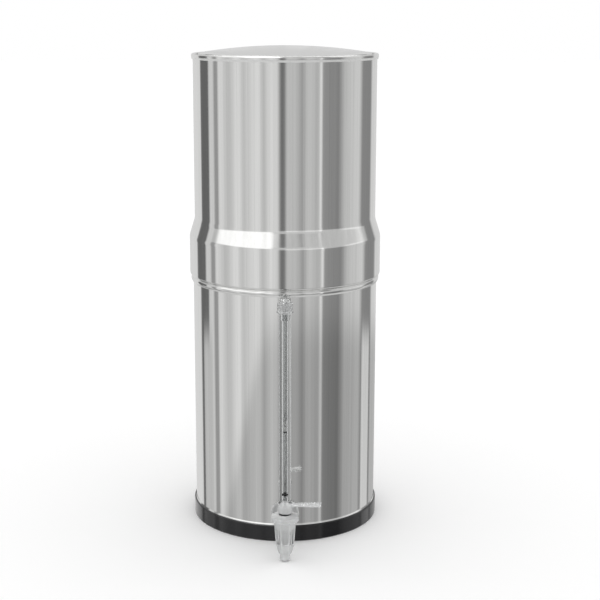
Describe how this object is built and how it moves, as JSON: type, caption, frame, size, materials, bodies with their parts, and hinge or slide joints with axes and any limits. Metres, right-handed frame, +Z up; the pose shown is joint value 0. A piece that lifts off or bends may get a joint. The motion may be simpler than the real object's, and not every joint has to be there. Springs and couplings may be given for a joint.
{
  "type": "gravity water filter with tap",
  "caption": "Two-chamber steel gravity water filter: an upper chamber with filter candles drains into a lower one with a clear tap and a sight tube.",
  "frame": {"origin": "centre of the foot ring, on the floor", "axes": "+Z up along the chambers' axis, -Y towards the tap, +X to the side that the lever points to"},
  "size_m": [0.2688, 0.3501, 0.6714],
  "materials": {
    "polished_steel": "polished, with faint vertical grain",
    "black_rubber": "glossy black",
    "black_seal": "satin",
    "pale_silicone": "satin",
    "clear_plastic": "clear, moulded",
    "clear_tube": "clear, drawn",
    "white_plastic": "moulded",
    "ceramic": null,
    "carbon": "pressed carbon granules"
  },
  "bodies": {
    "lower_stand": {"lower_wall": "polished_steel", "lower_floor": "polished_steel", "base_ring": "black_rubber", "tap_body": "clear_plastic", "tap_outer_washer": "pale_silicone", "tap_inner_washer": "pale_silicone", "tap_nut": "white_plastic", "sight_tube": "clear_tube", "tube_seat": "black_seal"},
    "valve": {"tap_lever": "clear_plastic", "valve_plug": "clear_plastic", "valve_o_rings": "black_seal"},
    "tube_top": {"tube_cap": "clear_plastic"},
    "float": {"level_float": "white_plastic", "float_band": "black_seal"},
    "upper_stand": {"upper_chamber": "polished_steel", "filter_pan": "polished_steel", "candle_washers": "pale_silicone", "candle_nuts": "white_plastic", "candle_base_1": "white_plastic", "candle_base_2": "white_plastic", "candle_base_3": "white_plastic", "candle_base_4": "white_plastic", "candle_shell_1": "ceramic", "candle_shell_2": "ceramic", "candle_shell_3": "ceramic", "candle_shell_4": "ceramic", "candle_core_1": "carbon", "candle_core_2": "carbon", "candle_core_3": "carbon", "candle_core_4": "carbon"},
    "cover": {"lid": "polished_steel"}
  },
  "joints": [
    {"name": "chamber_lift", "type": "slide", "parent": "lower_stand", "child": "upper_stand", "axis": [0, 0, 1], "range_m": [0, 0.15]},
    {"name": "lid_lift", "type": "slide", "parent": "upper_stand", "child": "cover", "axis": [0, 0, 1], "range_m": [0, 0.12]},
    {"name": "lever_turn", "type": "hinge", "parent": "lower_stand", "child": "valve", "pos_m": [0, -0.1977, 0.0424], "axis": [0, 0, 1], "range_deg": [-90, 0]},
    {"name": "float_slide", "type": "slide", "parent": "lower_stand", "child": "float", "axis": [0, 0, 1], "range_m": [-0.086, 0.137]},
    {"name": "cap_lift", "type": "slide", "parent": "lower_stand", "child": "tube_top", "axis": [0, 0, 1], "range_m": [0, 0.03]}
  ]
}
